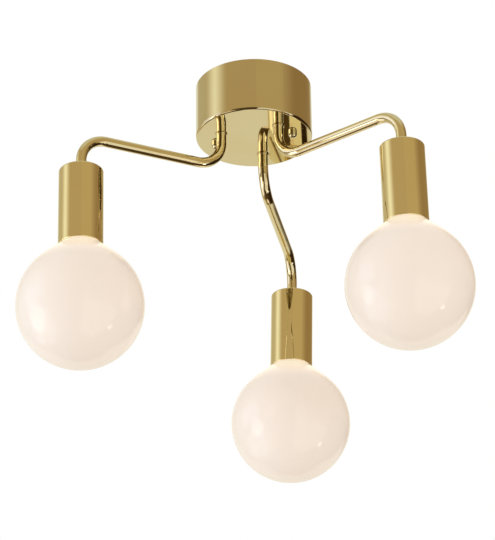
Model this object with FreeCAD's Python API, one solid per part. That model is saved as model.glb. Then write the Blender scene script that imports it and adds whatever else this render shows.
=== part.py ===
import FreeCAD, Part
import math
import os

# Semi flush ceiling light with three swivelling bent-tube arms and opal globe lamps.
# Millimetres, +Z up. The origin is the centre of the ceiling plane that the light
# hangs from, midway between the two ceiling screws, so all of it lies below Z = 0.
# The arms' names are those of the view from the front, along +Y.

Vector = FreeCAD.Vector
UP = Vector(0, 0, 1)

# ---- driving dimensions ----
# canopy, a deep drawn cup with its mouth on the ceiling
CANOPY_RADIUS = 60.0
CANOPY_HEIGHT = 59.0
CANOPY_WALL = 1.0
CANOPY_CORNER_RADIUS = 2.2

# arms: a stem through the canopy's face, a run outwards, a short drop into a cup
ARM_CIRCLE_RADIUS = 35.0
ARM_TUBE_RADIUS = 5.25
ARM_TUBE_WALL = 1.0
ARM_STEM_DROP = 39.0
ARM_REACH = 159.0
ARM_RUN_FALL = 7.5
ARM_END_DROP = 40.5
ARM_BEND_RADIUS = 29.0
ARM_TWIST_DEG = 1.45
# where each arm stands on its circle, and how far it is swung from pointing straight out
ARMS = {
    "left": {"place_deg": 210.0, "swing_deg": 14.3},
    "right": {"place_deg": 330.0, "swing_deg": 3.0},
    "back": {"place_deg": 90.0, "swing_deg": 3.6},
}

# gaps between pieces, and how far every cutter runs past what it cuts
THREAD_FIT = 0.03
RUNNING_FIT = 0.06
SEAT_GAP = 0.05
PAST = 1.0

# M10 x 1 thread on both ends of a tube, and what is stacked on it
THREAD_RADIUS = 5.0
STEM_THREAD_LENGTH = 13.55
END_THREAD_LENGTH = 14.0
COLLAR_RADIUS = 6.25
COLLAR_THICKNESS = 1.5
WASHER_RADIUS = 9.5
WASHER_THICKNESS = 0.8
NUT_ACROSS_FLATS = 14.0
ARM_NUT_THICKNESS = 4.5
CUP_NUT_THICKNESS = 4.0
BUSH_FLANGE_THICKNESS = 1.5
BUSH_LENGTH = 6.0
BUSH_BORE_RADIUS = 2.8
BUSH_BEVEL = 0.4
CABLE_RADIUS = 2.5
CABLE_ABOVE_BUSH = 2.0
LEAD_ABOVE_CABLE = 0.1
LEAD_INSIDE_COVER = 4.0
LEAD_BEND_RADIUS = 8.5

# cup, lampholder and lamp, along the lamp's own axis, Z = 0 at the cup's top
CUP_RADIUS = 22.3
CUP_LENGTH = 85.0
CUP_WALL = 1.0
CUP_TOP_THICKNESS = 1.5
CUP_CORNER_RADIUS = 1.8
CUP_INNER_CORNER_RADIUS = 1.0
HOLDER_RADIUS = 19.5
HOLDER_WALL = 2.0
HOLDER_ROOF = 3.0
HOLDER_SHOULDER_RADIUS = 3.0
HOLDER_BOSS_RADIUS = 8.0
HOLDER_SPIGOT_FIT = 0.1
HOLDER_JOINT_Z = -22.0
HOLDER_CORE_Z = -28.0
HOLDER_CORE_THICKNESS = 5.0
HOLDER_CORE_RIM_DEPTH = 7.0
HOLDER_CORE_FIT = 0.2
HOLDER_MOUTH_Z = -60.0
HOLDER_MOUTH_BEVEL = 1.0
HOLDER_LIP_RADIUS = 14.5
HOLDER_LIP_THICKNESS = 1.5
SLEEVE_RADIUS = 13.5
SLEEVE_WALL = 0.4
SLEEVE_HOLE_RADIUS = 6.0
SLEEVE_ABOVE_LIP = 0.2
CONTACT_THICKNESS = 0.4
CONTACT_WIDTH = 4.0
CONTACT_ABOVE_LAMP = 0.3
LAMP_RADIUS = 62.5
LAMP_LENGTH = 178.0
LAMP_CENTRE_BELOW_RIM = 65.3
LAMP_GLASS = 1.0
LAMP_SHOULDER_RADIUS = 21.0
LAMP_NECK_RADIUS = 17.5
LAMP_NECK_FILLET = 10.0
LAMP_NECK_TAPER = 14.0
LAMP_COLLAR_RADIUS = 12.9
LAMP_SEAM_RISE = 1.3
LAMP_SEAM = 0.04
LAMP_PLUG_RADIUS = 11.7
LAMP_PLUG_HEIGHT = 5.0
LAMP_CAP_RADIUS = 13.1
LAMP_CAP_ROOT_RADIUS = 12.2
LAMP_CAP_BORE_RADIUS = 11.8
LAMP_CAP_MOUTH_RADIUS = 10.6
LAMP_CAP_LENGTH = 27.0
LAMP_CAP_SKIRT = 2.0
LAMP_CAP_SHOULDER = 2.2
LAMP_CAP_RIM_WIDTH = 0.6
LAMP_CAP_RIM_THICKNESS = 1.0
LAMP_CAP_SHOULDER_BULGE = 0.3
LAMP_THREAD_PITCH = 3.63
LAMP_THREAD_TURNS = 5
INSULATOR_RADIUS = 11.0
INSULATOR_WAIST_RADIUS = 8.4
INSULATOR_TOP_RADIUS = 4.8
TIP_CONTACT_RADIUS = 4.6
TIP_CONTACT_HEIGHT = 1.2

# ceiling bracket, its studs and the dome nuts under the canopy
BRACKET_LENGTH = 104.0
BRACKET_WIDTH = 24.0
BRACKET_THICKNESS = 2.0
BRACKET_CORNER_RADIUS = 2.5
BRACKET_TAB_WIDTH = 34.0
BRACKET_TAB_REACH = 47.0
EARTH_EAR_WIDTH = 14.0
EARTH_EAR_REACH = 23.0
EARTH_SCREW_Y = 17.0
EARTH_WASHER_RADIUS = 4.4
EARTH_WASHER_THICKNESS = 0.8
EARTH_HEAD_RADIUS = 3.5
EARTH_HEAD_HEIGHT = 2.2
EARTH_SLOT_WIDTH = 1.0
EARTH_SLOT_DEPTH = 1.0
SLOT_SPACING = 44.0
SLOT_LENGTH = 16.0
SLOT_WIDTH = 5.0
STUD_SPACING = 82.0
STUD_RADIUS = 2.0
STUD_FIT = 0.05
STUD_HOLE_FIT = 0.3
STUD_BELOW_CEILING = 0.2
STUD_ABOVE_DOME_TIP = 1.6
STUD_NUT_ACROSS_FLATS = 7.0
STUD_NUT_THICKNESS = 3.2
DOME_NUT_RADIUS = 4.5
DOME_NUT_SKIRT = 2.3
DOME_NUT_HEIGHT = 6.3
DOME_NUT_TIP_WALL = 1.3
GROMMET_HOLE_RADIUS = 6.0
GROMMET_FLANGE_RADIUS = 8.0
GROMMET_FLANGE_THICKNESS = 1.6
GROMMET_BORE_RADIUS = 4.2
GROMMET_BEVEL = 0.4
GROMMET_BELOW_CEILING = 0.1

# terminal block and the insulating cover over it
COVER_WIDTH = 34.0
COVER_NEAR_Y = -12.5
COVER_FAR_Y = -47.0
COVER_DEPTH = 32.0
COVER_WALL = 1.5
COVER_CORNER_RADIUS = 2.0
LEAD_ENTRY_Z = -25.0
LEAD_ENTRY_FIT = 0.2
SUPPLY_ENTRY_Z = -11.0
SUPPLY_ENTRY_RADIUS = 4.5
BLOCK_SIZE = (28.0, 14.0, 10.0)
BLOCK_CENTRE_Y = -32.0
TERMINAL_PITCH = 9.0
TERMINAL_ROW_GAP = 8.0
TERMINAL_WIRE_RADIUS = 1.7
TERMINAL_WIRE_DEPTH = 4.5
TERMINAL_WELL_RADIUS = 1.75
TERMINAL_SCREW_RADIUS = 1.65
TERMINAL_SCREW_LENGTH = 3.6
TERMINAL_SCREW_SUNK = 0.6
TERMINAL_SLOT_WIDTH = 0.6
TERMINAL_SLOT_DEPTH = 0.8

FACE_Z = -CANOPY_HEIGHT
STEM_TOP_Z = FACE_Z - SEAT_GAP - COLLAR_THICKNESS + STEM_THREAD_LENGTH
LAMP_CENTRE_Z = -CUP_LENGTH - LAMP_CENTRE_BELOW_RIM
LAMP_TIP_Z = LAMP_CENTRE_Z - LAMP_RADIUS + LAMP_LENGTH
LAMP_CAP_EDGE_Z = LAMP_TIP_Z - LAMP_CAP_LENGTH


# ---- small building blocks ----
def cylinder(radius, z_low, z_high, x=0.0, y=0.0):
    return Part.makeCylinder(radius, z_high - z_low, Vector(x, y, z_low), UP)


def ring(outer, inner, z_low, z_high, x=0.0, y=0.0):
    return cylinder(outer, z_low, z_high, x, y).cut(cylinder(inner, z_low, z_high, x, y))


def box(x_low, x_high, y_low, y_high, z_low, z_high):
    corner = Vector(x_low, y_low, z_low)
    return Part.makeBox(x_high - x_low, y_high - y_low, z_high - z_low, corner)


def at(radius, z):
    """A point of a turned profile."""
    return Vector(radius, 0, z)


def line(start, end):
    return Part.LineSegment(start, end).toShape()


def arc(start, middle, end):
    return Part.Arc(start, middle, end).toShape()


def arc_about(centre, radius, start_deg, end_deg):
    """An arc of a turned profile about a centre, with angles from +X towards +Z."""
    points = []
    for angle in (start_deg, (start_deg + end_deg) / 2, end_deg):
        turn = math.radians(angle)
        points.append(centre + Vector(radius * math.cos(turn), 0, radius * math.sin(turn)))
    return arc(*points)


def dome(radius, z_base, z_tip):
    """The arc of a turned profile from a round edge to its tip on the axis."""
    height = z_tip - z_base
    centre_z = (z_base + z_tip) / 2 - radius ** 2 / (2 * height)
    sphere = abs(z_tip - centre_z)
    start_deg = math.degrees(math.atan2(z_base - centre_z, radius))
    return arc_about(at(0, centre_z), sphere, start_deg, math.copysign(90, height))


def turned(edges):
    """The solid turned about Z by a closed profile in the XZ plane."""
    face = Part.Face(Part.Wire(Part.__sortEdges__(edges)))
    return face.revolve(Vector(0, 0, 0), UP, 360)


def turned_polygon(points):
    """The solid turned about Z by straight lines through (radius, z) points."""
    corners = [at(radius, z) for radius, z in points]
    return turned([line(a, b) for a, b in zip(corners, corners[1:] + corners[:1])])


def hex_nut(across_flats, bore, z_low, z_high, x=0.0, y=0.0):
    """A hexagon nut with its corners turned off at both faces."""
    corner_radius = across_flats / math.sqrt(3)
    corners = []
    for side in range(7):
        turn = math.radians(60 * side)
        corners.append(Vector(corner_radius * math.cos(turn), corner_radius * math.sin(turn), z_low))
    prism = Part.Face(Part.makePolygon(corners)).extrude(UP * (z_high - z_low))
    flat = across_flats / 2
    bevel = (corner_radius - flat) / 2
    barrel = turned_polygon([
        (0, z_low), (flat, z_low), (corner_radius, z_low + bevel),
        (corner_radius, z_high - bevel), (flat, z_high), (0, z_high),
    ])
    nut = prism.common(barrel).cut(cylinder(bore, z_low, z_high))
    nut.translate(Vector(x, y, 0))
    return nut


def bent_path(points, bend_radius):
    """Straight runs joined by tangent arcs of one radius."""
    edges = []
    start = points[0]
    for before, corner, after in zip(points, points[1:], points[2:]):
        towards_before = (before - corner).normalize()
        towards_after = (after - corner).normalize()
        half_turn = (math.pi - towards_before.getAngle(towards_after)) / 2
        reach = bend_radius * math.tan(half_turn)
        bend_start = corner + towards_before * reach
        bend_end = corner + towards_after * reach
        inwards = (towards_before + towards_after).normalize()
        centre = corner + inwards * (bend_radius / math.cos(half_turn))
        edges.append(line(start, bend_start))
        edges.append(arc(bend_start, centre - inwards * bend_radius, bend_end))
        start = bend_end
    edges.append(line(start, points[-1]))
    return Part.Wire(edges)


def rod_along(points, bend_radius, radius):
    """A round bar swept along a bent path."""
    path = bent_path(points, bend_radius)
    direction = (points[1] - points[0]).normalize()
    section = Part.Wire(Part.Circle(points[0], direction, radius).toShape())
    return path.makePipeShell([section], True, True)


# ---- ceiling side ----
def stud_places():
    return (-STUD_SPACING / 2, STUD_SPACING / 2)


def arm_foot(arm):
    """The point of the canopy's face that an arm's stem passes through."""
    turn = math.radians(ARMS[arm]["place_deg"])
    return Vector(ARM_CIRCLE_RADIUS * math.cos(turn), ARM_CIRCLE_RADIUS * math.sin(turn), FACE_Z)


def make_canopy():
    outer, corner = CANOPY_RADIUS, CANOPY_CORNER_RADIUS
    inner, inner_corner = outer - CANOPY_WALL, corner - CANOPY_WALL
    floor = FACE_Z + CANOPY_WALL
    centre = at(outer - corner, FACE_Z + corner)
    shell = turned([
        line(at(0, FACE_Z), at(outer - corner, FACE_Z)),
        arc_about(centre, corner, -90, 0),
        line(at(outer, FACE_Z + corner), at(outer, 0)),
        line(at(outer, 0), at(inner, 0)),
        line(at(inner, 0), at(inner, FACE_Z + corner)),
        arc_about(centre, inner_corner, 0, -90),
        line(at(outer - corner, floor), at(0, floor)),
        line(at(0, floor), at(0, FACE_Z)),
    ])
    for arm in ARMS:
        foot = arm_foot(arm)
        hole = cylinder(THREAD_RADIUS + RUNNING_FIT, FACE_Z - PAST, floor + PAST, foot.x, foot.y)
        shell = shell.cut(hole)
    for x in stud_places():
        shell = shell.cut(cylinder(STUD_RADIUS + STUD_HOLE_FIT, FACE_Z - PAST, floor + PAST, x))
    return shell


def slot_cutter(x):
    """An oblong hole through the bracket, long way along X."""
    z_low, z_high = -BRACKET_THICKNESS - PAST, PAST
    half = (SLOT_LENGTH - SLOT_WIDTH) / 2
    radius = SLOT_WIDTH / 2
    middle = box(x - half, x + half, -radius, radius, z_low, z_high)
    ends = [cylinder(radius, z_low, z_high, x + side * half) for side in (-1, 1)]
    return middle.multiFuse(ends)


def make_ceiling_bracket():
    low = -BRACKET_THICKNESS
    half_length, half_width = BRACKET_LENGTH / 2, BRACKET_WIDTH / 2
    bar = box(-half_length, half_length, -half_width, half_width, low, 0)
    tab = box(-BRACKET_TAB_WIDTH / 2, BRACKET_TAB_WIDTH / 2, -BRACKET_TAB_REACH, 0, low, 0)
    ear = box(-EARTH_EAR_WIDTH / 2, EARTH_EAR_WIDTH / 2, 0, EARTH_EAR_REACH, low, 0)
    plate = bar.multiFuse([tab, ear]).removeSplitter()
    upright = [e for e in plate.Edges if e.BoundBox.ZLength > BRACKET_THICKNESS / 2]
    plate = plate.makeFillet(BRACKET_CORNER_RADIUS, upright)
    for side in (-1, 1):
        plate = plate.cut(slot_cutter(side * SLOT_SPACING / 2))
    for x in stud_places():
        plate = plate.cut(cylinder(STUD_RADIUS + STUD_FIT, low - PAST, PAST, x))
    plate = plate.cut(cylinder(STUD_RADIUS + STUD_FIT, low - PAST, PAST, 0, EARTH_SCREW_Y))
    return plate.cut(cylinder(GROMMET_HOLE_RADIUS, low - PAST, PAST))


def make_bracket_studs():
    bottom = FACE_Z - DOME_NUT_HEIGHT + STUD_ABOVE_DOME_TIP
    studs = [cylinder(STUD_RADIUS, bottom, -STUD_BELOW_CEILING, x) for x in stud_places()]
    return Part.makeCompound(studs)


def make_stud_nuts():
    top = -BRACKET_THICKNESS - SEAT_GAP
    nuts = []
    for x in stud_places():
        bore = STUD_RADIUS + STUD_FIT
        nuts.append(hex_nut(STUD_NUT_ACROSS_FLATS, bore, top - STUD_NUT_THICKNESS, top, x))
    return Part.makeCompound(nuts)


def make_dome_nuts():
    """Blind nuts with a round skirt and a domed end, on the ends of the studs."""
    top = FACE_Z - SEAT_GAP
    skirt_end = top - DOME_NUT_SKIRT
    tip = top - DOME_NUT_HEIGHT
    bore = STUD_RADIUS + STUD_FIT
    bore_end = tip + DOME_NUT_TIP_WALL
    profile = [
        line(at(bore, top), at(DOME_NUT_RADIUS, top)),
        line(at(DOME_NUT_RADIUS, top), at(DOME_NUT_RADIUS, skirt_end)),
        dome(DOME_NUT_RADIUS, skirt_end, tip),
        line(at(0, tip), at(0, bore_end)),
        line(at(0, bore_end), at(bore, bore_end)),
        line(at(bore, bore_end), at(bore, top)),
    ]
    nut = turned(profile)
    nuts = []
    for x in stud_places():
        copy = nut.copy()
        copy.translate(Vector(x, 0, 0))
        nuts.append(copy)
    return Part.makeCompound(nuts)


def make_supply_grommet():
    """A rubber bush that keeps the supply cable off the bracket's edge."""
    plate_low = -BRACKET_THICKNESS
    flange_low = plate_low - GROMMET_FLANGE_THICKNESS
    top = -GROMMET_BELOW_CEILING
    spigot = GROMMET_HOLE_RADIUS - THREAD_FIT
    return turned_polygon([
        (GROMMET_BORE_RADIUS, top), (spigot, top), (spigot, plate_low - SEAT_GAP),
        (GROMMET_FLANGE_RADIUS, plate_low - SEAT_GAP),
        (GROMMET_FLANGE_RADIUS - GROMMET_BEVEL, flange_low), (GROMMET_BORE_RADIUS, flange_low),
    ])


def make_earth_screw():
    """A pan-head screw with a fixed washer and a driver slot, head down."""
    washer_top = -BRACKET_THICKNESS - SEAT_GAP
    head_top = washer_top - EARTH_WASHER_THICKNESS
    head_low = head_top - EARTH_HEAD_HEIGHT
    y = EARTH_SCREW_Y
    washer = cylinder(EARTH_WASHER_RADIUS, head_top, washer_top, 0, y)
    head = cylinder(EARTH_HEAD_RADIUS, head_low, head_top, 0, y)
    shank = cylinder(STUD_RADIUS, head_top, -STUD_BELOW_CEILING, 0, y)
    half_slot = EARTH_SLOT_WIDTH / 2
    reach = EARTH_HEAD_RADIUS + PAST
    slot = box(-reach, reach, y - half_slot, y + half_slot, head_low - PAST, head_low + EARTH_SLOT_DEPTH)
    return washer.multiFuse([head, shank]).cut(slot).removeSplitter()


def make_terminal_cover():
    """An insulating box, open towards the bracket's tab, with four cable entries."""
    half, wall = COVER_WIDTH / 2, COVER_WALL
    low = -COVER_DEPTH
    top = -BRACKET_THICKNESS - SEAT_GAP
    outer = box(-half, half, COVER_FAR_Y, COVER_NEAR_Y, low, top)
    rounded = [e for e in outer.Edges if e.CenterOfMass.z < top - COVER_CORNER_RADIUS]
    outer = outer.makeFillet(COVER_CORNER_RADIUS, rounded)
    inside = box(-half + wall, half - wall, COVER_FAR_Y + wall, COVER_NEAR_Y - wall, low + wall, top)
    cover = outer.cut(inside)
    entry = CABLE_RADIUS + LEAD_ENTRY_FIT
    side_start = Vector(-half - PAST, arm_foot("left").y, LEAD_ENTRY_Z)
    cover = cover.cut(Part.makeCylinder(entry, COVER_WIDTH + 2 * PAST, side_start, Vector(1, 0, 0)))
    for radius, z in ((entry, LEAD_ENTRY_Z), (SUPPLY_ENTRY_RADIUS, SUPPLY_ENTRY_Z)):
        start = Vector(0, COVER_NEAR_Y - wall - PAST, z)
        cover = cover.cut(Part.makeCylinder(radius, wall + 2 * PAST, start, Vector(0, 1, 0)))
    return cover


def terminal_places():
    """Centres of the clamp screws of the three-way block, two to each way."""
    places = []
    for way in (-1, 0, 1):
        for row in (-1, 1):
            places.append((way * TERMINAL_PITCH, BLOCK_CENTRE_Y + row * TERMINAL_ROW_GAP / 2))
    return places


def make_terminal_block():
    length, depth, height = BLOCK_SIZE
    top = -BRACKET_THICKNESS - SEAT_GAP
    near, far = BLOCK_CENTRE_Y + depth / 2, BLOCK_CENTRE_Y - depth / 2
    body = box(-length / 2, length / 2, far, near, top - height, top)
    wire_z = top - TERMINAL_WIRE_DEPTH
    for way in (-1, 0, 1):
        start = Vector(way * TERMINAL_PITCH, far - PAST, wire_z)
        wire_hole = Part.makeCylinder(TERMINAL_WIRE_RADIUS, depth + 2 * PAST, start, Vector(0, 1, 0))
        body = body.cut(wire_hole)
    for x, y in terminal_places():
        body = body.cut(cylinder(TERMINAL_WELL_RADIUS, top - height - PAST, wire_z, x, y))
    return body


def make_terminal_screws():
    """Slotted clamp screws, one in each well of the block."""
    low = -BRACKET_THICKNESS - SEAT_GAP - BLOCK_SIZE[2] + TERMINAL_SCREW_SUNK
    half_slot = TERMINAL_SLOT_WIDTH / 2
    reach = TERMINAL_SCREW_RADIUS + PAST
    screws = []
    for x, y in terminal_places():
        screw = cylinder(TERMINAL_SCREW_RADIUS, low, low + TERMINAL_SCREW_LENGTH, x, y)
        slot_top = low + TERMINAL_SLOT_DEPTH
        slot = box(x - reach, x + reach, y - half_slot, y + half_slot, low - PAST, slot_top)
        screws.append(screw.cut(slot))
    return Part.makeCompound(screws)


def make_arm_washers():
    """Flat washers between the canopy's floor and the arms' nuts."""
    low = FACE_Z + CANOPY_WALL + SEAT_GAP / 2
    rings = []
    for arm in ARMS:
        foot = arm_foot(arm)
        bore = THREAD_RADIUS + RUNNING_FIT
        rings.append(ring(WASHER_RADIUS, bore, low, low + WASHER_THICKNESS, foot.x, foot.y))
    return Part.makeCompound(rings)


def make_canopy_leads():
    """The leads from the top of each stem to the terminal cover, in the canopy."""
    start_z = STEM_TOP_Z + BUSH_FLANGE_THICKNESS + CABLE_ABOVE_BUSH + LEAD_ABOVE_CABLE
    leads = []
    for arm in ARMS:
        foot = arm_foot(arm)
        bottom = Vector(foot.x, foot.y, start_z)
        corner = Vector(foot.x, foot.y, LEAD_ENTRY_Z)
        if arm == "back":
            end = Vector(0, COVER_NEAR_Y - LEAD_INSIDE_COVER, LEAD_ENTRY_Z)
        else:
            side = math.copysign(1, foot.x)
            end = Vector(side * (COVER_WIDTH / 2 - LEAD_INSIDE_COVER), foot.y, LEAD_ENTRY_Z)
        leads.append(rod_along([bottom, corner, end], LEAD_BEND_RADIUS, CABLE_RADIUS))
    return Part.makeCompound(leads)


# ---- one arm, its stem on the Z axis and its run towards +X ----
def lamp_axis():
    """The direction in which a cup hangs: down, but for the twist between the bends."""
    twist = math.radians(ARM_TWIST_DEG)
    return Vector(0, math.sin(twist), -math.cos(twist))


def outer_corner():
    return Vector(ARM_REACH, 0, FACE_Z - ARM_STEM_DROP - ARM_RUN_FALL)


def cup_top():
    return outer_corner() + lamp_axis() * ARM_END_DROP


def lamp_placement():
    """From the lamp's own axis to the arm."""
    return FreeCAD.Placement(cup_top(), FreeCAD.Rotation(Vector(1, 0, 0), ARM_TWIST_DEG))


def arm_placement(arm):
    """From the arm, as it is built, to its place on the canopy."""
    foot = arm_foot(arm)
    heading = ARMS[arm]["place_deg"] + ARMS[arm]["swing_deg"]
    return FreeCAD.Placement(Vector(foot.x, foot.y, 0), FreeCAD.Rotation(UP, heading))


def arm_route(top_z, end_z):
    """Corners of the arm's centre line, from a height in the stem to one in the cup."""
    return [
        Vector(0, 0, top_z),
        Vector(0, 0, FACE_Z - ARM_STEM_DROP),
        outer_corner(),
        cup_top() - lamp_axis() * end_z,
    ]


def make_tube():
    route = arm_route(STEM_TOP_Z, -END_THREAD_LENGTH)
    tube = rod_along(route, ARM_BEND_RADIUS, ARM_TUBE_RADIUS)
    outside = ARM_TUBE_RADIUS + PAST
    thread_low = STEM_TOP_Z - STEM_THREAD_LENGTH
    stem_turning = ring(outside, THREAD_RADIUS, thread_low, STEM_TOP_Z + PAST)
    end_turning = ring(outside, THREAD_RADIUS, -END_THREAD_LENGTH - PAST, 0)
    end_turning.Placement = lamp_placement()
    bore = rod_along(route, ARM_BEND_RADIUS, ARM_TUBE_RADIUS - ARM_TUBE_WALL)
    return tube.cut(stem_turning).cut(end_turning).cut(bore)


def make_collar():
    """The thin ring between the tube's shoulder and the canopy's face."""
    top = FACE_Z - SEAT_GAP
    low = top - COLLAR_THICKNESS
    bore = THREAD_RADIUS + THREAD_FIT
    edge = COLLAR_THICKNESS / 2
    return turned([
        line(at(bore, low), at(COLLAR_RADIUS - edge, low)),
        arc_about(at(COLLAR_RADIUS - edge, low + edge), edge, -90, 90),
        line(at(COLLAR_RADIUS - edge, top), at(bore, top)),
        line(at(bore, top), at(bore, low)),
    ])


def make_arm_nut():
    low = FACE_Z + CANOPY_WALL + WASHER_THICKNESS + SEAT_GAP
    return hex_nut(NUT_ACROSS_FLATS, THREAD_RADIUS + THREAD_FIT, low, low + ARM_NUT_THICKNESS)


def make_tube_bush():
    """A plastic bush that guards the cable at the stem's open end."""
    spigot = ARM_TUBE_RADIUS - ARM_TUBE_WALL - THREAD_FIT
    spigot_low = STEM_TOP_Z - BUSH_LENGTH
    flange_low = STEM_TOP_Z + THREAD_FIT
    flange_top = flange_low + BUSH_FLANGE_THICKNESS
    return turned_polygon([
        (BUSH_BORE_RADIUS, spigot_low), (spigot, spigot_low), (spigot, flange_low),
        (THREAD_RADIUS, flange_low), (THREAD_RADIUS, flange_top - BUSH_BEVEL),
        (THREAD_RADIUS - BUSH_BEVEL, flange_top), (BUSH_BORE_RADIUS, flange_top),
    ])


def make_cable():
    """The sheathed lead from the stem's open end, through the bends, to the lampholder."""
    top = STEM_TOP_Z + BUSH_FLANGE_THICKNESS + CABLE_ABOVE_BUSH
    route = arm_route(top, HOLDER_CORE_Z + SEAT_GAP)
    return rod_along(route, ARM_BEND_RADIUS, CABLE_RADIUS)


# ---- cup, lampholder and lamp, on the lamp's own axis ----
def make_cup():
    outer, corner = CUP_RADIUS, CUP_CORNER_RADIUS
    inner = outer - CUP_WALL
    bore = THREAD_RADIUS + THREAD_FIT
    under = -CUP_TOP_THICKNESS
    inner_corner = CUP_INNER_CORNER_RADIUS
    rim = -CUP_LENGTH
    lip = CUP_WALL / 2
    return turned([
        line(at(bore, 0), at(outer - corner, 0)),
        arc_about(at(outer - corner, -corner), corner, 90, 0),
        line(at(outer, -corner), at(outer, rim + lip)),
        arc_about(at(outer - lip, rim + lip), lip, 0, -180),
        line(at(inner, rim + lip), at(inner, under - inner_corner)),
        arc_about(at(inner - inner_corner, under - inner_corner), inner_corner, 0, 90),
        line(at(inner - inner_corner, under), at(bore, under)),
        line(at(bore, under), at(bore, 0)),
    ])


def cup_nut_low():
    return -CUP_TOP_THICKNESS - SEAT_GAP - CUP_NUT_THICKNESS


def make_cup_nut():
    low = cup_nut_low()
    return hex_nut(NUT_ACROSS_FLATS, THREAD_RADIUS + THREAD_FIT, low, low + CUP_NUT_THICKNESS)


def make_holder_cap():
    """The lampholder's upper half, screwed on the tube's end under the cup's nut."""
    top = cup_nut_low() - SEAT_GAP
    roof = top - HOLDER_ROOF
    end = HOLDER_CORE_Z + SEAT_GAP
    bore = THREAD_RADIUS + THREAD_FIT
    boss = HOLDER_BOSS_RADIUS
    spigot = HOLDER_RADIUS - HOLDER_WALL - HOLDER_SPIGOT_FIT
    inside = spigot - HOLDER_WALL
    shoulder = HOLDER_SHOULDER_RADIUS
    return turned([
        line(at(bore, top), at(HOLDER_RADIUS - shoulder, top)),
        arc_about(at(HOLDER_RADIUS - shoulder, top - shoulder), shoulder, 90, 0),
        line(at(HOLDER_RADIUS, top - shoulder), at(HOLDER_RADIUS, HOLDER_JOINT_Z)),
        line(at(HOLDER_RADIUS, HOLDER_JOINT_Z), at(spigot, HOLDER_JOINT_Z)),
        line(at(spigot, HOLDER_JOINT_Z), at(spigot, end)),
        line(at(spigot, end), at(inside, end)),
        line(at(inside, end), at(inside, roof)),
        line(at(inside, roof), at(boss, roof)),
        line(at(boss, roof), at(boss, -END_THREAD_LENGTH)),
        line(at(boss, -END_THREAD_LENGTH), at(bore, -END_THREAD_LENGTH)),
        line(at(bore, -END_THREAD_LENGTH), at(bore, top)),
    ])


def make_holder_shell():
    """The lampholder's skirt, with a lip that keeps the core in."""
    inner = HOLDER_RADIUS - HOLDER_WALL
    top = HOLDER_JOINT_Z - SEAT_GAP
    mouth = HOLDER_MOUTH_Z
    bevel = HOLDER_MOUTH_BEVEL
    lip_top = mouth + HOLDER_LIP_THICKNESS
    return turned_polygon([
        (inner, top), (HOLDER_RADIUS, top), (HOLDER_RADIUS, mouth + bevel),
        (HOLDER_RADIUS - bevel, mouth), (HOLDER_LIP_RADIUS, mouth),
        (HOLDER_LIP_RADIUS, lip_top), (inner, lip_top),
    ])


def make_holder_core():
    """The porcelain core, a disc with a rim round the top of the screw sleeve."""
    rim = HOLDER_RADIUS - HOLDER_WALL - HOLDER_CORE_FIT
    pocket = SLEEVE_RADIUS + SLEEVE_WALL + SEAT_GAP
    under = HOLDER_CORE_Z - HOLDER_CORE_THICKNESS
    rim_low = under - HOLDER_CORE_RIM_DEPTH
    return turned_polygon([
        (0, HOLDER_CORE_Z), (rim, HOLDER_CORE_Z), (rim, rim_low), (pocket, rim_low),
        (pocket, under), (0, under),
    ])


def sleeve_top():
    return HOLDER_CORE_Z - HOLDER_CORE_THICKNESS - SEAT_GAP


def make_screw_sleeve():
    """The thin sleeve that takes the lamp's screw cap, its threads left plain."""
    outer = SLEEVE_RADIUS + SLEEVE_WALL
    hole = SLEEVE_HOLE_RADIUS
    top = sleeve_top()
    low = HOLDER_MOUTH_Z + HOLDER_LIP_THICKNESS + SLEEVE_ABOVE_LIP
    return turned_polygon([
        (hole, top), (outer, top), (outer, low), (SLEEVE_RADIUS, low),
        (SLEEVE_RADIUS, top - SLEEVE_WALL), (hole, top - SLEEVE_WALL),
    ])


def make_centre_contact():
    """A sprung tongue that bears on the lamp's tip."""
    top = sleeve_top()
    tip = LAMP_TIP_Z + CONTACT_ABOVE_LAMP
    thick = CONTACT_THICKNESS
    root_x, bend_x, tip_x = -5, -1, 3.5
    corners = [
        (root_x, top), (bend_x, top), (tip_x, tip + thick),
        (tip_x, tip), (bend_x, top - thick), (root_x, top - thick),
    ]
    outline = [Vector(x, -CONTACT_WIDTH / 2, z) for x, z in corners]
    tongue = Part.Face(Part.makePolygon(outline + outline[:1]))
    return tongue.extrude(Vector(0, CONTACT_WIDTH, 0))


def glass_line(top, offset):
    """The glass's line from its top end to the bottom pole, moved inwards by an offset.

    The shoulder is a cone that touches the ball and is as wide as the cup's mouth at the
    cup's rim. Above it the glass curves in to a neck, which narrows to the screw cap.
    """
    across, up = LAMP_SHOULDER_RADIUS, LAMP_CENTRE_BELOW_RIM
    lean = math.atan2(across, up) + math.acos(LAMP_RADIUS / math.hypot(across, up))
    outwards = Vector(math.sin(lean), 0, math.cos(lean))
    ball_centre = at(0, LAMP_CENTRE_Z)
    fillet_x = LAMP_NECK_RADIUS + LAMP_NECK_FILLET
    fillet_rise = (LAMP_RADIUS + LAMP_NECK_FILLET - fillet_x * outwards.x) / outwards.z
    fillet_centre = at(fillet_x, LAMP_CENTRE_Z + fillet_rise)
    fillet = LAMP_NECK_FILLET + offset
    radius = LAMP_RADIUS - offset
    cone_deg = 90 - math.degrees(lean)
    taper_start = at(LAMP_NECK_RADIUS - offset, LAMP_CAP_EDGE_Z - LAMP_NECK_TAPER)
    neck_start = at(LAMP_NECK_RADIUS - offset, fillet_centre.z)
    return [
        line(top, taper_start),
        line(taper_start, neck_start),
        arc_about(fillet_centre, fillet, 180, 180 + cone_deg),
        line(fillet_centre - outwards * fillet, ball_centre + outwards * radius),
        arc_about(ball_centre, radius, cone_deg, -90),
    ]


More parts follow.
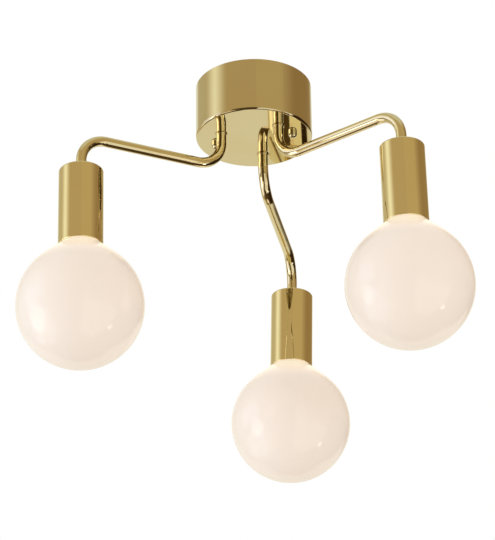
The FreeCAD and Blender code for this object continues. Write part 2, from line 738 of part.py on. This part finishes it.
def make_globe():
    """The opal glass: a sealed ball, and the neck that is fused to it inside the cup.

    Ball and neck are two solids, because the glass is blown as a ball and then sealed to
    its neck. The seam is a hairline, and it is out of sight above the cup's rim.
    """
    plug, plug_inside = LAMP_PLUG_RADIUS, LAMP_PLUG_RADIUS - LAMP_GLASS
    plug_top = LAMP_CAP_EDGE_Z + LAMP_PLUG_HEIGHT
    collar_z = LAMP_CAP_EDGE_Z - SEAT_GAP
    collar = at(LAMP_COLLAR_RADIUS, collar_z)
    inside_top = at(plug_inside, collar_z - LAMP_GLASS)
    pole_z = LAMP_CENTRE_Z - LAMP_RADIUS
    glass = turned(glass_line(collar, 0.0) + glass_line(inside_top, LAMP_GLASS) + [
        line(at(0, pole_z), at(0, pole_z + LAMP_GLASS)),
        line(collar, at(plug, collar_z)),
        line(at(plug, collar_z), at(plug, plug_top)),
        line(at(plug, plug_top), at(plug_inside, plug_top)),
        line(at(plug_inside, plug_top), inside_top),
    ])
    seam_low = -CUP_LENGTH + LAMP_SEAM_RISE
    return glass.cut(cylinder(CUP_RADIUS, seam_low, seam_low + LAMP_SEAM))


def make_lamp_cap():
    """The metal screw cap, with its rounded thread as rings of the thread's pitch."""
    middle = (LAMP_CAP_RADIUS + LAMP_CAP_ROOT_RADIUS) / 2
    half = LAMP_THREAD_PITCH / 2
    thread_low = LAMP_CAP_EDGE_Z + LAMP_CAP_SKIRT
    bore, mouth = LAMP_CAP_BORE_RADIUS, LAMP_CAP_MOUTH_RADIUS
    low, high = at(middle, LAMP_CAP_EDGE_Z), at(middle, thread_low)
    edges = [line(low, high)]
    z = thread_low
    for ridge in range(LAMP_THREAD_TURNS):
        edges.append(arc(at(middle, z), at(LAMP_CAP_RADIUS, z + half / 2), at(middle, z + half)))
        z += half
        if ridge < LAMP_THREAD_TURNS - 1:
            root = at(LAMP_CAP_ROOT_RADIUS, z + half / 2)
            edges.append(arc(at(middle, z), root, at(middle, z + half)))
            z += half
    top = z + LAMP_CAP_SHOULDER
    under = top - LAMP_CAP_RIM_THICKNESS
    shoulder = at(mouth + LAMP_CAP_RIM_WIDTH, top)
    edges.append(arc(at(middle, z), at(middle - LAMP_CAP_SHOULDER_BULGE, under), shoulder))
    edges.append(line(shoulder, at(mouth, top)))
    edges.append(line(at(mouth, top), at(mouth, under)))
    edges.append(line(at(mouth, under), at(bore, z)))
    edges.append(line(at(bore, z), at(bore, LAMP_CAP_EDGE_Z)))
    edges.append(line(at(bore, LAMP_CAP_EDGE_Z), low))
    return turned(edges)


def cap_shoulder_z():
    threaded = (LAMP_THREAD_TURNS - 0.5) * LAMP_THREAD_PITCH
    return LAMP_CAP_EDGE_Z + LAMP_CAP_SKIRT + threaded + LAMP_CAP_SHOULDER


def make_lamp_insulator():
    """The black glass cone between the screw cap and the tip contact."""
    low = cap_shoulder_z() + SEAT_GAP
    high = LAMP_TIP_Z - TIP_CONTACT_HEIGHT
    edge, end = at(INSULATOR_RADIUS, low), at(INSULATOR_TOP_RADIUS, high)
    return turned([
        line(at(0, low), edge),
        arc(edge, at(INSULATOR_WAIST_RADIUS, (low + high) / 2), end),
        line(end, at(0, high)),
        line(at(0, high), at(0, low)),
    ])


def make_lamp_contact():
    """The lamp's domed tip contact."""
    low = LAMP_TIP_Z - TIP_CONTACT_HEIGHT + SEAT_GAP
    return turned([
        line(at(0, low), at(TIP_CONTACT_RADIUS, low)),
        dome(TIP_CONTACT_RADIUS, low, LAMP_TIP_Z),
        line(at(0, LAMP_TIP_Z), at(0, low)),
    ])


# ---- all nodes ----
CEILING_PARTS = {
    "canopy": make_canopy,
    "ceiling_bracket": make_ceiling_bracket,
    "bracket_studs": make_bracket_studs,
    "stud_nuts": make_stud_nuts,
    "dome_nuts": make_dome_nuts,
    "supply_grommet": make_supply_grommet,
    "earth_screw": make_earth_screw,
    "terminal_cover": make_terminal_cover,
    "terminal_block": make_terminal_block,
    "terminal_screws": make_terminal_screws,
    "arm_washers": make_arm_washers,
    "canopy_leads": make_canopy_leads,
}
ARM_PARTS = {
    "tube": make_tube,
    "collar": make_collar,
    "nut": make_arm_nut,
    "bush": make_tube_bush,
    "cable": make_cable,
}
LAMP_AXIS_PARTS = {
    "cup": make_cup,
    "cup_nut": make_cup_nut,
    "holder_cap": make_holder_cap,
    "holder_shell": make_holder_shell,
    "holder_core": make_holder_core,
    "screw_sleeve": make_screw_sleeve,
    "centre_contact": make_centre_contact,
    "lamp_globe": make_globe,
    "lamp_cap": make_lamp_cap,
    "lamp_insulator": make_lamp_insulator,
    "lamp_contact": make_lamp_contact,
}


def save(name, shape):
    if not shape.isValid():
        print("not valid:", name)
    shape.exportStep("parts/" + name + ".step")


def placed(shape, placement):
    copy = shape.copy()
    copy.Placement = placement.multiply(copy.Placement)
    return copy


def main():
    os.makedirs("parts", exist_ok=True)
    for name, make in CEILING_PARTS.items():
        save(name, make())
    on_arm = {name: make() for name, make in ARM_PARTS.items()}
    for name, make in LAMP_AXIS_PARTS.items():
        on_arm[name] = placed(make(), lamp_placement())
    for arm in ARMS:
        for name, shape in on_arm.items():
            save(arm + "_" + name, placed(shape, arm_placement(arm)))


main()
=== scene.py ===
"""Looks of a semi flush ceiling light with three swivelling arms and opal globe lamps."""

import math

import bpy
from mathutils import Matrix, Vector

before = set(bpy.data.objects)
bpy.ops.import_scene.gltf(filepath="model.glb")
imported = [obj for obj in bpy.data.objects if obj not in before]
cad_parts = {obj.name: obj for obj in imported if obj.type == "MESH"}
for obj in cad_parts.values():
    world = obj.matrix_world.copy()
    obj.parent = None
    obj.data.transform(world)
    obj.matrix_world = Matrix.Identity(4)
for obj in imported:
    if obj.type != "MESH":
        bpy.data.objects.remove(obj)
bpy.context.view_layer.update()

scene = bpy.context.scene
scene.view_settings.view_transform = "Standard"

# ---- where the photograph was taken from ----
CAMERA_PLACE = Vector((0.6275, -2.3837, -1.49065))
CAMERA_TURN_DEG = 14.749
CAMERA_YAW_DEG = -0.193
CAMERA_PITCH_DEG = 27.417
CAMERA_ROLL_DEG = 0.628
CAMERA_LENS_MM = 183.83
CAMERA_SENSOR_MM = 36.0
CAMERA_NEAREST = 0.1
CAMERA_FARTHEST = 100.0


def camera_axes():
    """The camera's right, down and forward directions in the light's own frame."""
    yaw = math.radians(CAMERA_YAW_DEG)
    pitch = math.radians(CAMERA_PITCH_DEG)
    roll = math.radians(CAMERA_ROLL_DEG)
    level = Vector((math.sin(yaw), math.cos(yaw), 0))
    forward = level * math.cos(pitch) + Vector((0, 0, math.sin(pitch)))
    right = Vector((math.cos(yaw), -math.sin(yaw), 0))
    down = forward.cross(right)
    turned_right = right * math.cos(roll) + down * math.sin(roll)
    turned_down = down * math.cos(roll) - right * math.sin(roll)
    turn = Matrix.Rotation(math.radians(CAMERA_TURN_DEG), 3, "Z")
    return turn @ turned_right, turn @ turned_down, turn @ forward


def make_camera():
    """A camera at the photograph's place, with its angle of view."""
    right, down, forward = camera_axes()
    data = bpy.data.cameras.new("camera")
    data.lens = CAMERA_LENS_MM
    data.sensor_width = CAMERA_SENSOR_MM
    data.sensor_fit = "AUTO"
    data.clip_start = CAMERA_NEAREST
    data.clip_end = CAMERA_FARTHEST
    camera = bpy.data.objects.new("camera", data)
    scene.collection.objects.link(camera)
    turn = Matrix((right, -down, -forward)).transposed()
    camera.matrix_world = Matrix.Translation(CAMERA_PLACE) @ turn.to_4x4()
    scene.camera = camera


# ---- material helpers ----
# the Mix node's colour sockets share their names with its other sockets, so they go by number
MIX_FIRST, MIX_SECOND, MIX_RESULT = 6, 7, 2
LEVEL_ONLY = (1.0, 1.0, 0.0)


def rgb(red, green, blue):
    """An opaque colour."""
    return (red, green, blue, 1.0)


class Graph:
    """Short forms for building a node tree."""

    def __init__(self, tree):
        self.nodes = tree.nodes
        self.links = tree.links

    def put(self, socket, value):
        """Link a socket to another one, or set its constant."""
        if isinstance(value, bpy.types.NodeSocket):
            self.links.new(value, socket)
        else:
            socket.default_value = value

    def add(self, kind, inputs=None, **settings):
        """A new node with its settings and inputs filled in."""
        node = self.nodes.new(kind)
        for key, value in settings.items():
            setattr(node, key, value)
        for key, value in (inputs or {}).items():
            self.put(node.inputs[key], value)
        return node

    def math(self, operation, *values):
        """A sum, product or other operation on numbers."""
        node = self.add("ShaderNodeMath", operation=operation)
        for socket, value in zip(node.inputs, values):
            self.put(socket, value)
        return node.outputs[0]

    def dot(self, vector, other):
        """Dot product of two vectors."""
        inputs = {0: vector, 1: other}
        return self.add("ShaderNodeVectorMath", inputs, operation="DOT_PRODUCT").outputs["Value"]

    def noise(self, vector, scale, detail=3.0, roughness=0.5):
        """Soft noise from 0 to 1."""
        inputs = {"Vector": vector, "Scale": scale, "Detail": detail, "Roughness": roughness}
        return self.add("ShaderNodeTexNoise", inputs).outputs["Fac"]

    def ramp(self, value, low, high, to_low=0.0, to_high=1.0):
        """A smooth step from one value to another, level on both sides of it."""
        inputs = {"Value": value, "From Min": low, "From Max": high,
                  "To Min": to_low, "To Max": to_high}
        node = self.add("ShaderNodeMapRange", inputs, interpolation_type="SMOOTHSTEP")
        return node.outputs["Result"]

    def blend(self, factor, first, second):
        """A mix of two colours."""
        node = self.add("ShaderNodeMix", data_type="RGBA")
        self.put(node.inputs["Factor"], factor)
        self.put(node.inputs[MIX_FIRST], first)
        self.put(node.inputs[MIX_SECOND], second)
        return node.outputs[MIX_RESULT]

    def mix_shaders(self, factor, first, second):
        """A mix of the first outputs of two shader nodes."""
        inputs = {0: factor, 1: first.outputs[0], 2: second.outputs[0]}
        return self.add("ShaderNodeMixShader", inputs)

    def bump(self, height, strength, distance):
        """A normal tilted by a height."""
        inputs = {"Height": height, "Strength": strength, "Distance": distance}
        return self.add("ShaderNodeBump", inputs).outputs["Normal"]

    def place(self, kind="Object"):
        """Position on the object: in metres, or as a share of its box for Generated."""
        return self.add("ShaderNodeTexCoord").outputs[kind]

    def stretched(self, vector, scale):
        """A vector scaled along each axis."""
        inputs = {"Vector": vector, "Scale": scale}
        return self.add("ShaderNodeMapping", inputs).outputs["Vector"]

    def part(self, vector, axis):
        """One coordinate of a vector."""
        return self.add("ShaderNodeSeparateXYZ", {0: vector}).outputs[axis]

    def from_upright_axis(self, vector):
        """Level distance from the upright axis through the origin."""
        inputs = {0: self.stretched(vector, LEVEL_ONLY)}
        return self.add("ShaderNodeVectorMath", inputs, operation="LENGTH").outputs["Value"]


def new_material(name):
    """A material, its graph and its shader."""
    material = bpy.data.materials.new(name)
    material.use_nodes = True
    graph = Graph(material.node_tree)
    return material, graph, graph.nodes["Principled BSDF"]


# ---- materials ----
# slot, colour, second colour, roughness, how metallic, noise scale, strength of the grain
PLAIN_LOOKS = (
    ("zinc_steel", rgb(0.58, 0.60, 0.61), rgb(0.44, 0.46, 0.48), 0.33, 1.0, 140.0, 0.15),
    ("nickel_plate", rgb(0.68, 0.65, 0.6), rgb(0.58, 0.55, 0.5), 0.2, 1.0, 90.0, 0.05),
    ("tinned_tip", rgb(0.55, 0.55, 0.56), rgb(0.38, 0.38, 0.4), 0.4, 1.0, 300.0, 0.4),
    ("white_plastic", rgb(0.72, 0.71, 0.68), rgb(0.66, 0.65, 0.61), 0.42, 0.0, 80.0, 0.12),
    ("clear_plastic", rgb(0.70, 0.70, 0.66), rgb(0.6, 0.6, 0.56), 0.3, 0.0, 80.0, 0.08),
    ("cable_sheath", rgb(0.66, 0.65, 0.62), rgb(0.58, 0.57, 0.54), 0.5, 0.0, 120.0, 0.2),
    ("black_rubber", rgb(0.03, 0.03, 0.03), rgb(0.05, 0.05, 0.048), 0.65, 0.0, 120.0, 0.3),
    ("porcelain", rgb(0.78, 0.76, 0.7), rgb(0.72, 0.7, 0.64), 0.16, 0.0, 60.0, 0.03),
    ("black_glass", rgb(0.012, 0.012, 0.014), rgb(0.02, 0.02, 0.022), 0.1, 0.0, 60.0, 0.03),
)
PLAIN_FINER = 12
PLAIN_GRAIN_DEPTH = 0.0002
PLAIN_SMOOTHEST = 0.85
PLAIN_ROUGHEST = 1.2

# name, colour, deeper colour, roughness, unevenness of the bends
BRASS_LOOKS = (
    ("polished_brass", rgb(0.80, 0.705, 0.44), rgb(0.785, 0.68, 0.41), 0.03, 0.0),
    ("contact_brass", rgb(0.75, 0.58, 0.28), rgb(0.62, 0.45, 0.2), 0.22, 0.0),
    # painted light: cups and tubes are the same polished brass as the canopy, in lighter copies
    # that paint their reflections brighter
    ("cup_brass_painted_lighter", rgb(0.93, 0.815, 0.50), rgb(0.91, 0.79, 0.465), 0.03, 0.0),
    ("tube_brass_painted_lighter", rgb(0.87, 0.765, 0.48), rgb(0.85, 0.735, 0.44), 0.012, 0.6),
)
BROAD_SCALE = 22.0
SMUDGE_SCALE = 75.0
SMUDGE_ROUGHNESS = 0.025
LINES_SCALE = (420.0, 420.0, 2600.0)
LINES_SMOOTHEST = -0.006
LINES_ROUGHEST = 0.01
LINES_STRENGTH = 0.015
LINES_DEPTH = 0.00003
RUN_MIDDLE = 0.117
RUN_STRAIGHT = 0.040
RUN_BENT = 0.058
RUN_UNEVENNESS = 0.12
WAVE_SCALE = 95.0
WAVE_DEPTH = 0.001

OPAL_CREAM = rgb(0.895, 0.79, 0.70)
OPAL_DEEP_CREAM = rgb(0.87, 0.76, 0.665)
# painted light: the neck's warmer colour and stronger glow lift the shade that the cup casts on
# the neck
OPAL_PAINTED_NECK_WARMTH = rgb(0.86, 0.765, 0.63)
OPAL_GLOW = rgb(1.0, 0.78, 0.62)
OPAL_PAINTED_NECK_GLOW = rgb(1.0, 0.85, 0.66)
OPAL_GLOW_STRENGTH = 0.125
OPAL_PAINTED_NECK_GLOW_STRENGTH = 0.35
OPAL_PAINTED_NECK_FROM, OPAL_PAINTED_NECK_TO = 0.66, 0.78
OPAL_PAINTED_GLOW_FROM, OPAL_PAINTED_GLOW_TO = 0.58, 0.75
OPAL_CLOUD_SCALE = 16.0
OPAL_RIPPLE_SCALE = 42.0
OPAL_RIPPLE_STRENGTH = 0.05
OPAL_RIPPLE_DEPTH = 0.001
OPAL_POLISH_SCALE = 120.0
OPAL_SMOOTHEST, OPAL_ROUGHEST = 0.09, 0.14
OPAL_IOR = 1.5


def plain_look(slot, base, other, rough, metallic, scale, grain):
    """A surface whose colour and roughness vary gently, with a fine grain."""
    material, g, shader = new_material(slot + "_look")
    place = g.place()
    broad = g.noise(place, scale, detail=4.0)
    fine = g.noise(place, scale * PLAIN_FINER, detail=2.0)
    g.put(shader.inputs["Base Color"], g.blend(g.ramp(broad, 0.35, 0.68), base, other))
    worn = g.ramp(fine, 0.3, 0.7, rough * PLAIN_SMOOTHEST, rough * PLAIN_ROUGHEST)
    g.put(shader.inputs["Roughness"], worn)
    shader.inputs["Metallic"].default_value = metallic
    g.put(shader.inputs["Normal"], g.bump(fine, grain, PLAIN_GRAIN_DEPTH))
    return material


def brass_look(name, base, deep, rough, wave):
    """Polished brass under clear lacquer, with faint polishing lines and a few smudges.

    The wave is the unevenness that bending leaves in a tube, strongest in its two bends.
    """
    material, g, shader = new_material(name + "_look")
    place = g.place()
    broad = g.noise(place, BROAD_SCALE)
    smudge = g.noise(place, SMUDGE_SCALE, detail=5.0, roughness=0.6)
    lines = g.noise(g.stretched(place, LINES_SCALE), 1.0, detail=2.0)
    g.put(shader.inputs["Base Color"], g.blend(g.ramp(broad, 0.32, 0.74), base, deep))
    worn = g.ramp(smudge, 0.5, 0.8, rough, rough + SMUDGE_ROUGHNESS)
    lined = g.ramp(lines, 0.3, 0.8, LINES_SMOOTHEST, LINES_ROUGHEST)
    g.put(shader.inputs["Roughness"], g.math("ADD", worn, lined))
    shader.inputs["Metallic"].default_value = 1.0
    if wave:
        from_middle = g.math("SUBTRACT", g.from_upright_axis(place), RUN_MIDDLE)
        from_middle = g.math("ABSOLUTE", from_middle)
        bent = g.ramp(from_middle, RUN_STRAIGHT, RUN_BENT, RUN_UNEVENNESS, 1.0)
        uneven = g.math("MULTIPLY", g.noise(place, WAVE_SCALE, detail=1.0), bent)
        normal = g.bump(uneven, wave, WAVE_DEPTH)
    else:
        normal = g.bump(lines, LINES_STRENGTH, LINES_DEPTH)
    g.put(shader.inputs["Normal"], normal)
    return material


def opal_look():
    """Opal glass that glows faintly from inside, with painted light at the neck: a warmer colour
    and a stronger glow where the neck enters the cup, painted to lift the shade the cup casts
    there.
    """
    material, g, shader = new_material("opal_glass_look")
    place = g.place()
    height = g.part(g.place("Generated"), 2)
    # painted light at the neck, where the cup shades it
    painted_neck_light = g.ramp(height, OPAL_PAINTED_NECK_FROM, OPAL_PAINTED_NECK_TO)
    cream = g.blend(g.noise(place, OPAL_CLOUD_SCALE), OPAL_CREAM, OPAL_DEEP_CREAM)
    g.put(shader.inputs["Base Color"], g.blend(painted_neck_light, cream, OPAL_PAINTED_NECK_WARMTH))
    ripple = g.noise(place, OPAL_RIPPLE_SCALE, detail=1.0)
    g.put(shader.inputs["Normal"], g.bump(ripple, OPAL_RIPPLE_STRENGTH, OPAL_RIPPLE_DEPTH))
    polish = g.noise(place, OPAL_POLISH_SCALE)
    g.put(shader.inputs["Roughness"], g.ramp(polish, 0.3, 0.7, OPAL_SMOOTHEST, OPAL_ROUGHEST))
    shader.inputs["IOR"].default_value = OPAL_IOR
    g.put(shader.inputs["Emission Color"], g.blend(painted_neck_light, OPAL_GLOW, OPAL_PAINTED_NECK_GLOW))
    # the lamp's own faint glow, raised towards the neck as painted light
    glow = g.ramp(height, OPAL_PAINTED_GLOW_FROM, OPAL_PAINTED_GLOW_TO,
                  OPAL_GLOW_STRENGTH, OPAL_PAINTED_NECK_GLOW_STRENGTH)
    g.put(shader.inputs["Emission Strength"], glow)
    return material


def dress_nodes():
    """Give each node its slot's look. Cups and tubes get lighter copies of the polished brass,
    painted lighter so that they mirror brighter.
    """
    looks = {row[0]: brass_look(*row) for row in BRASS_LOOKS}
    looks.update({row[0]: plain_look(*row) for row in PLAIN_LOOKS})
    looks["opal_glass"] = opal_look()
    for name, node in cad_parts.items():
        slot = node.data.materials[0].name
        # cups and tubes take the lighter, painted copies of the brass
        if name.endswith("_cup"):
            slot = "cup_brass_painted_lighter"
        elif name.endswith("_tube"):
            slot = "tube_brass_painted_lighter"
        node.data.materials[0] = looks[slot]


# ---- surroundings ----
WHITE = rgb(1.0, 1.0, 1.0)
SOFT_LIGHT = rgb(1.0, 0.985, 0.96)
SOFT_STRENGTH = 0.80
HALF_TURN = 180.0
FULL_TURN = 360.0

# What stands round the light in the studio, for what its metal and glass mirror. Each panel
# has the azimuth of its middle and its half width, its lowest and highest elevation, how soft
# its sides and its ends are, all in degrees, and its colour. A later one covers an earlier one.
ROOM = rgb(0.475, 0.363, 0.195)
PANELS = (
    ("front_flat", 33, 28, -4, 75, 3, 16, rgb(0.50, 0.387, 0.20)),
    ("right_wall", 112, 40, -14, 50, 44, 16, rgb(0.315, 0.21, 0.095)),
    ("left_rear_wall", -132, 28, -12, 70, 26, 14, rgb(0.533, 0.471, 0.31)),
    ("left_glow", -84, 14, 8, 42, 34, 22, rgb(0.95, 0.94, 0.785)),
    ("front_dark", -16, 26, -66, 12, 8, 10, rgb(0.079, 0.053, 0.022)),
    ("right_dark", 112, 33, -68, 16, 5, 12, rgb(0.03, 0.016, 0.008)),
    ("back_low", 178, 40, -33, 6, 10, 4, rgb(0.785, 0.75, 0.615)),
    ("back_sheet", 184, 27, 2, 80, 12, 8, rgb(0.80, 0.78, 0.64)),
    ("ceiling", 0, 180, 58, 100, 1, 22, rgb(0.62, 0.61, 0.50)),
    ("rear_left_floor", -150, 40, -90, -40, 16, 8, rgb(0.17, 0.125, 0.05)),
    ("rear_right_floor", 146, 46, -90, -39, 12, 7, rgb(0.069, 0.037, 0.0126)),
    ("below", 0, 180, -100, -61, 1, 8, rgb(0.079, 0.0485, 0.02)),
    ("right_screen", 44, 36, -74, -12, 5, 7, rgb(0.86, 0.84, 0.76)),
    ("left_upper_box", -86, 20, 1, 25, 9, 2, rgb(1.06, 1.08, 1.30)),
    ("left_gap", -86, 24, -8, 0, 9, 1, rgb(0.14, 0.13, 0.13)),
    ("left_lower_sheet", -92, 28, -52, -13, 20, 6, rgb(1.02, 1.00, 1.12)),
    ("left_rear_strip", -115, 14, -33, -21, 6, 4, rgb(1.3, 1.3, 1.3)),
    ("far_lamp", 86, 3.5, -43, -36, 3, 3, rgb(5.0, 5.0, 5.0)),
)

# Round lamps: azimuth and elevation in degrees, distance and width in metres, watts, colour,
# and whether a lamp is only mirrored in the light or only lights it.
LAMP_TARGET = Vector((0, 0, -0.2))
LAMPS = (
    ("left_lamp", -80, -8, 2.2, 1.6, 16.5, (0.60, 0.78, 1.0), False),
    ("front_lamp", 30, -25, 2.4, 1.6, 6.0, (1.0, 0.97, 0.92), False),
    ("top_lamp", 150, 62, 2.4, 1.8, 11.0, (1.0, 0.98, 0.95), False),
    ("left_box", -82, -20, 0.95, 0.50, 1.0, (1.0, 1.0, 1.0), True),
)

FLOOR_Z = -2.9
FLOOR_RADIUS = 14.0
FLOOR_SIDES = 96
FLOOR_PALE = rgb(0.93, 0.93, 0.92)
FLOOR_ROUGHNESS = 0.9
FLOOR_FADE_FROM, FLOOR_FADE_TO = 0.8, 3.2


def level_axes():
    """Level directions from the light towards the camera and towards the picture's right."""
    right, _, forward = camera_axes()
    to_camera = Vector((-forward.x, -forward.y, 0)).normalized()
    to_right = Vector((right.x, right.y, 0)).normalized()
    return to_camera, to_right


def direction(azimuth_deg, elevation_deg):
    """A direction seen from the light. Azimuth 0 is towards the camera, 90 the picture's right."""
    to_camera, to_right = level_axes()
    azimuth, elevation = math.radians(azimuth_deg), math.radians(elevation_deg)
    level = to_camera * math.cos(azimuth) + to_right * math.sin(azimuth)
    return level * math.cos(elevation) + Vector((0, 0, math.sin(elevation)))


def panel_mask(g, azimuth, elevation, panel):
    """1 inside a panel and 0 outside it, with soft edges."""
    _, middle, half, low, high, side_soft, end_soft, _ = panel
    side, end = side_soft / 2, end_soft / 2
    turn = g.math("SUBTRACT", azimuth, middle - FULL_TURN - HALF_TURN)
    turn = g.math("FLOORED_MODULO", turn, FULL_TURN)
    away = g.math("ABSOLUTE", g.math("SUBTRACT", turn, HALF_TURN))
    across = g.ramp(away, half - side, half + side, 1.0, 0.0)
    above = g.ramp(elevation, low - end, low + end)
    under = g.ramp(elevation, high - end, high + end, 1.0, 0.0)
    return g.math("MULTIPLY", across, g.math("MULTIPLY", above, under))


def make_world():
    """Soft light from all round, the panels in what is mirrored, and white to the camera."""
    world = bpy.data.worlds.new("studio")
    scene.world = world
    world.use_nodes = True
    g = Graph(world.node_tree)
    g.nodes.clear()
    ray = g.place("Generated")
    to_camera, to_right = level_axes()
    turned = g.math("ARCTAN2", g.dot(ray, to_right), g.dot(ray, to_camera))
    azimuth = g.math("MULTIPLY", turned, math.degrees(1))
    elevation = g.math("MULTIPLY", g.math("ARCSINE", g.part(ray, 2)), math.degrees(1))
    colour = ROOM
    for panel in PANELS:
        colour = g.blend(panel_mask(g, azimuth, elevation, panel), colour, panel[-1])
    path = g.add("ShaderNodeLightPath")
    seen = g.math("MAXIMUM", path.outputs["Is Camera Ray"], path.outputs["Is Transmission Ray"])
    soft = g.add("ShaderNodeBackground", {"Color": SOFT_LIGHT, "Strength": SOFT_STRENGTH})
    mirrored = g.add("ShaderNodeBackground", {"Color": colour, "Strength": 1.0})
    white = g.add("ShaderNodeBackground", {"Color": WHITE, "Strength": 1.0})
    lit = g.mix_shaders(path.outputs["Is Glossy Ray"], soft, mirrored)
    both = g.mix_shaders(seen, lit, white)
    g.links.new(both.outputs[0], g.add("ShaderNodeOutputWorld").inputs[0])


def make_lamp(name, azimuth, elevation, distance, width, watts, colour, mirrored):
    """A round lamp that faces the light. It either lights it or is only mirrored in it."""
    data = bpy.data.lights.new(name, "AREA")
    data.shape = "DISK"
    data.size = width
    data.energy = watts
    data.color = colour
    lamp = bpy.data.objects.new(name, data)
    scene.collection.objects.link(lamp)
    towards = direction(azimuth, elevation)
    lamp.location = LAMP_TARGET + towards * distance
    lamp.rotation_euler = towards.to_track_quat("Z", "Y").to_euler()
    lamp.visible_diffuse = not mirrored
    lamp.visible_glossy = mirrored


def make_floor():
    """A plain pale floor well below the light, fading into the white background far out."""
    turns = [math.tau * step / FLOOR_SIDES for step in range(FLOOR_SIDES)]
    corners = [(FLOOR_RADIUS * math.cos(turn), FLOOR_RADIUS * math.sin(turn), FLOOR_Z)
               for turn in turns]
    data = bpy.data.meshes.new("floor")
    data.from_pydata(corners, [], [tuple(range(FLOOR_SIDES))])
    floor = bpy.data.objects.new("floor", data)
    scene.collection.objects.link(floor)
    material, g, shader = new_material("floor_look")
    shader.inputs["Base Color"].default_value = FLOOR_PALE
    shader.inputs["Roughness"].default_value = FLOOR_ROUGHNESS
    shader.inputs["Specular IOR Level"].default_value = 0.0
    glow = g.add("ShaderNodeEmission", {"Color": WHITE, "Strength": 1.0})
    far = g.ramp(g.from_upright_axis(g.place()), FLOOR_FADE_FROM, FLOOR_FADE_TO)
    seen = g.math("MULTIPLY", far, g.add("ShaderNodeLightPath").outputs["Is Camera Ray"])
    mixed = g.mix_shaders(seen, shader, glow)
    g.links.new(mixed.outputs[0], g.nodes["Material Output"].inputs["Surface"])
    data.materials.append(material)
    floor.visible_glossy = False


make_camera()
dress_nodes()
make_world()
for row in LAMPS:
    make_lamp(*row)
make_floor()
